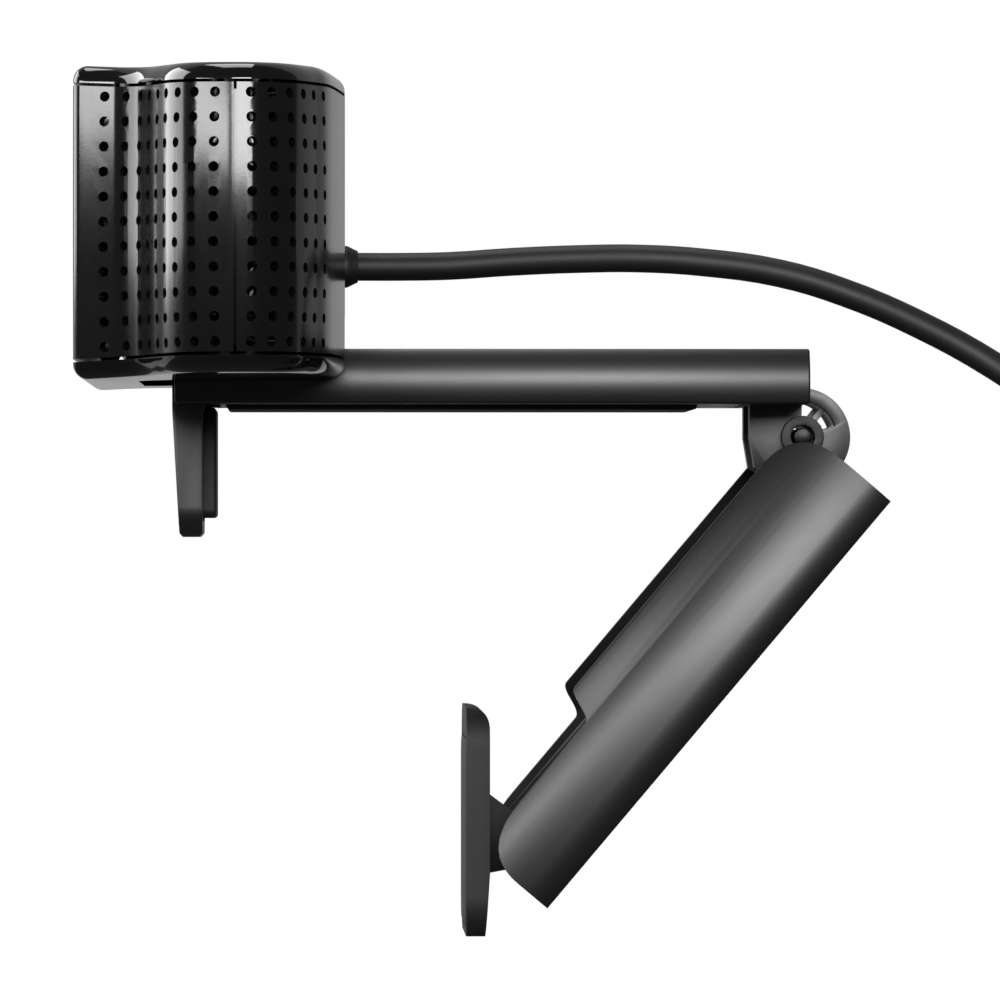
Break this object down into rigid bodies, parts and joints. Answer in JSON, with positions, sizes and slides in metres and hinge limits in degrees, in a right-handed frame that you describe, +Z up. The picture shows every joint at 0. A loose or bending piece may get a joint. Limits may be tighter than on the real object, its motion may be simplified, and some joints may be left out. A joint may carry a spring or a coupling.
{
  "type": "clip-on webcam",
  "caption": "Wide clip-on webcam with perforated shells and gloss caps, on a folding monitor clip with front lip, hinged leg and pivoting foot.",
  "frame": {"origin": "middle of the clip bar's rubber underside, where the screen's top edge carries the camera", "axes": "+Z up, -Y the way the camera looks, +X along the head's width"},
  "size_m": [0.0964, 0.1297, 0.1267],
  "materials": {
    "cap_gloss": "high-gloss black",
    "shell_satin": "satin black with round holes",
    "clip_satin": "satin black",
    "inner_plastic": "matt black",
    "pad_rubber": "matt black",
    "lead_jacket": "smooth black",
    "steel": "plated",
    "dark_steel": "blackened",
    "lens_glass": "coated",
    "circuit_board": "solder mask",
    "light_pipe": "clear",
    "white_plastic": "plain"
  },
  "bodies": {
    "clip": {"clip_base": "clip_satin", "clip_cover": "clip_satin", "rest_pad": "pad_rubber", "lip_pad": "pad_rubber", "cover_screw_left": "steel", "cover_screw_right": "steel", "hinge_pin": "dark_steel"},
    "head": {"front_shell": "shell_satin", "rear_shell": "shell_satin", "top_cap": "cap_gloss", "bottom_cap": "cap_gloss", "front_panel": "cap_gloss", "lens_ring": "cap_gloss", "lens_barrel": "inner_plastic", "lens_glass": "lens_glass", "lens_holder": "inner_plastic", "main_board": "circuit_board", "image_sensor": "steel", "lead_connector": "white_plastic", "status_light": "light_pipe", "microphone_left": "steel", "microphone_board_left": "circuit_board", "microphone_right": "steel", "microphone_board_right": "circuit_board", "board_screw_1": "steel", "board_screw_2": "steel", "board_screw_3": "steel", "board_screw_4": "steel", "tilt_pin": "steel", "lead_relief": "lead_jacket", "lead": "lead_jacket", "lead_coil": "lead_jacket", "coil_tie": "inner_plastic", "plug_body": "lead_jacket", "plug_shell": "steel", "plug_tongue": "white_plastic"},
    "leg": {"leg_shell": "clip_satin", "leg_frame": "inner_plastic", "friction_washer_left": "steel", "friction_washer_right": "steel", "foot_pin": "dark_steel"},
    "foot": {"foot_plate": "clip_satin", "foot_pad": "pad_rubber"}
  },
  "joints": [
    {"name": "head_tilt", "type": "hinge", "parent": "clip", "child": "head", "pos_m": [0, -0.009, 0.008], "axis": [1, 0, 0], "range_deg": [-5, 10]},
    {"name": "leg_fold", "type": "hinge", "parent": "clip", "child": "leg", "pos_m": [0, 0.0457, -0.0027], "axis": [1, 0, 0], "range_deg": [-40, 50]},
    {"name": "foot_pivot", "type": "hinge", "parent": "leg", "child": "foot", "pos_m": [0, 0.01931, -0.04338], "axis": [1, 0, 0], "range_deg": [-40, 40]}
  ]
}
